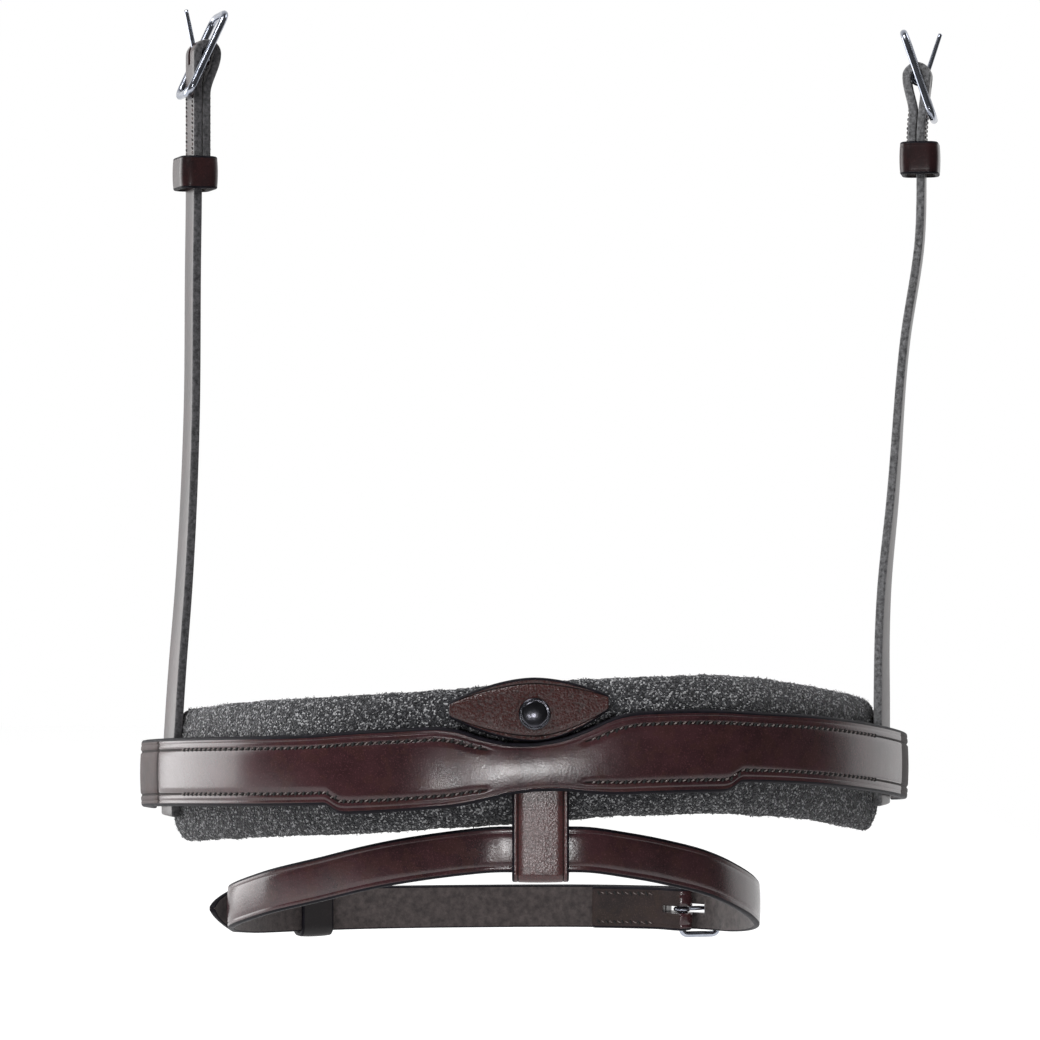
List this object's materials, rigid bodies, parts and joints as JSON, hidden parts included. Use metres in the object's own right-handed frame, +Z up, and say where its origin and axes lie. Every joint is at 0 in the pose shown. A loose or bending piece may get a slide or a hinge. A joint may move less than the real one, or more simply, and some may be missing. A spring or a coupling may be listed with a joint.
{
  "type": "flash noseband",
  "caption": "Padded leather noseband of a bridle, with buckled hanger straps, a chin strap, and a snap-held loop that carries a narrow flash strap",
  "frame": {"origin": "middle of the pad's inner face, where the noseband rests on the nose", "axes": "+X to the right as seen from the front, +Y from the front of the noseband to the back of the jaw, +Z up"},
  "size_m": [0.2849, 0.187, 0.3312],
  "materials": {
    "leather": "smooth, slightly waxed",
    "dark_leather": "matt",
    "pad_fabric": "rough",
    "steel": "polished",
    "gunmetal": "dark plated"
  },
  "bodies": {
    "noseband": {"nose_band": "leather", "band_backing_left": "dark_leather", "band_backing_right": "dark_leather", "nose_pad": "pad_fabric", "loop_front_leaf": "leather", "loop_back_leaf": "leather", "snap_post": "steel", "hanger_tail_left": "dark_leather", "hanger_tail_right": "dark_leather", "chin_billet": "leather", "chin_buckle_strap": "leather", "chin_keeper_fixed": "leather"},
    "tab": {"flash_tab": "leather", "flash_tab_lining": "dark_leather", "snap_cap": "gunmetal", "snap_socket": "steel"},
    "loop": {"flash_loop": "leather"},
    "flash_strap": {"flash_strap": "leather"},
    "flash_buckle": {"flash_buckle": "steel"},
    "flash_tongue": {"flash_tongue": "steel"},
    "flash_keeper": {"flash_keeper": "leather"},
    "hanger_left": {"hanger_left": "leather"},
    "hanger_buckle_left": {"hanger_buckle_left": "steel"},
    "hanger_tongue_left": {"hanger_tongue_left": "steel"},
    "hanger_keeper_left": {"hanger_keeper_left": "leather"},
    "hanger_right": {"hanger_right": "leather"},
    "hanger_buckle_right": {"hanger_buckle_right": "steel"},
    "hanger_tongue_right": {"hanger_tongue_right": "steel"},
    "hanger_keeper_right": {"hanger_keeper_right": "leather"},
    "chin_buckle": {"chin_buckle": "steel"},
    "chin_tongue": {"chin_tongue": "steel"},
    "chin_keeper_loose": {"chin_keeper_loose": "leather"}
  },
  "joints": [
    {"name": "tab_snap", "type": "hinge", "parent": "noseband", "child": "tab", "pos_m": [0, -0.0149, 0.0039], "axis": [1, 0, 0], "range_deg": [0, 75]},
    {"name": "flash_loop_swing", "type": "hinge", "parent": "noseband", "child": "loop", "pos_m": [0.0021, -0.01105, -0.01244], "axis": [-1, 0, 0], "range_deg": [0, 30]},
    {"name": "flash_strap_slide", "type": "slide", "parent": "loop", "child": "flash_strap", "axis": [1, 0, 0], "range_m": [-0.002, 0.002]},
    {"name": "flash_buckle_tilt", "type": "hinge", "parent": "flash_strap", "child": "flash_buckle", "pos_m": [0.05666, 0.09769, -0.06249], "axis": [0, 0, 1], "range_deg": [0, 8]},
    {"name": "flash_tongue_tilt", "type": "hinge", "parent": "flash_buckle", "child": "flash_tongue", "pos_m": [0.05666, 0.09769, -0.06249], "axis": [0, 0, 1], "range_deg": [0, 6]},
    {"name": "flash_keeper_slide", "type": "slide", "parent": "flash_strap", "child": "flash_keeper", "axis": [-0.9224, -0.3862, 0.0097], "range_m": [-0.003, 0.003]},
    {"name": "hanger_left_swing", "type": "hinge", "parent": "noseband", "child": "hanger_left", "pos_m": [-0.12454, 0.07201, 0.01256], "axis": [0.3762, -0.9265, 0], "range_deg": [-25, 50]},
    {"name": "hanger_buckle_left_tilt", "type": "hinge", "parent": "hanger_left", "child": "hanger_buckle_left", "pos_m": [-0.11502, 0.07564, 0.24255], "axis": [-0.3111, 0.9504, 0], "range_deg": [0, 60]},
    {"name": "hanger_tongue_left_tilt", "type": "hinge", "parent": "hanger_buckle_left", "child": "hanger_tongue_left", "pos_m": [-0.11502, 0.07564, 0.24255], "axis": [-0.3111, 0.9504, 0], "range_deg": [-75, 30]},
    {"name": "hanger_keeper_left_slide", "type": "slide", "parent": "hanger_left", "child": "hanger_keeper_left", "axis": [0, 0, 1], "range_m": [-0.02, 0.012]},
    {"name": "hanger_right_swing", "type": "hinge", "parent": "noseband", "child": "hanger_right", "pos_m": [0.12591, 0.07126, 0.01597], "axis": [0.3748, 0.9271, 0], "range_deg": [-25, 50]},
    {"name": "hanger_buckle_right_tilt", "type": "hinge", "parent": "hanger_right", "child": "hanger_buckle_right", "pos_m": [0.13821, 0.0656, 0.23442], "axis": [-0.1938, -0.981, 0], "range_deg": [0, 60]},
    {"name": "hanger_tongue_right_tilt", "type": "hinge", "parent": "hanger_buckle_right", "child": "hanger_tongue_right", "pos_m": [0.13821, 0.0656, 0.23442], "axis": [-0.1938, -0.981, 0], "range_deg": [-75, 30]},
    {"name": "hanger_keeper_right_slide", "type": "slide", "parent": "hanger_right", "child": "hanger_keeper_right", "axis": [0, 0, 1], "range_m": [-0.015, 0.003]},
    {"name": "chin_buckle_tilt", "type": "hinge", "parent": "noseband", "child": "chin_buckle", "pos_m": [0.08165, 0.15022, -0.01473], "axis": [0, 0, -1], "range_deg": [0, 8]},
    {"name": "chin_tongue_tilt", "type": "hinge", "parent": "chin_buckle", "child": "chin_tongue", "pos_m": [0.08165, 0.15022, -0.01473], "axis": [0, 0, -1], "range_deg": [0, 6]},
    {"name": "chin_keeper_slide", "type": "slide", "parent": "noseband", "child": "chin_keeper_loose", "axis": [-0.7317, 0.6808, -0.0319], "range_m": [-0.004, 0.0005]}
  ]
}
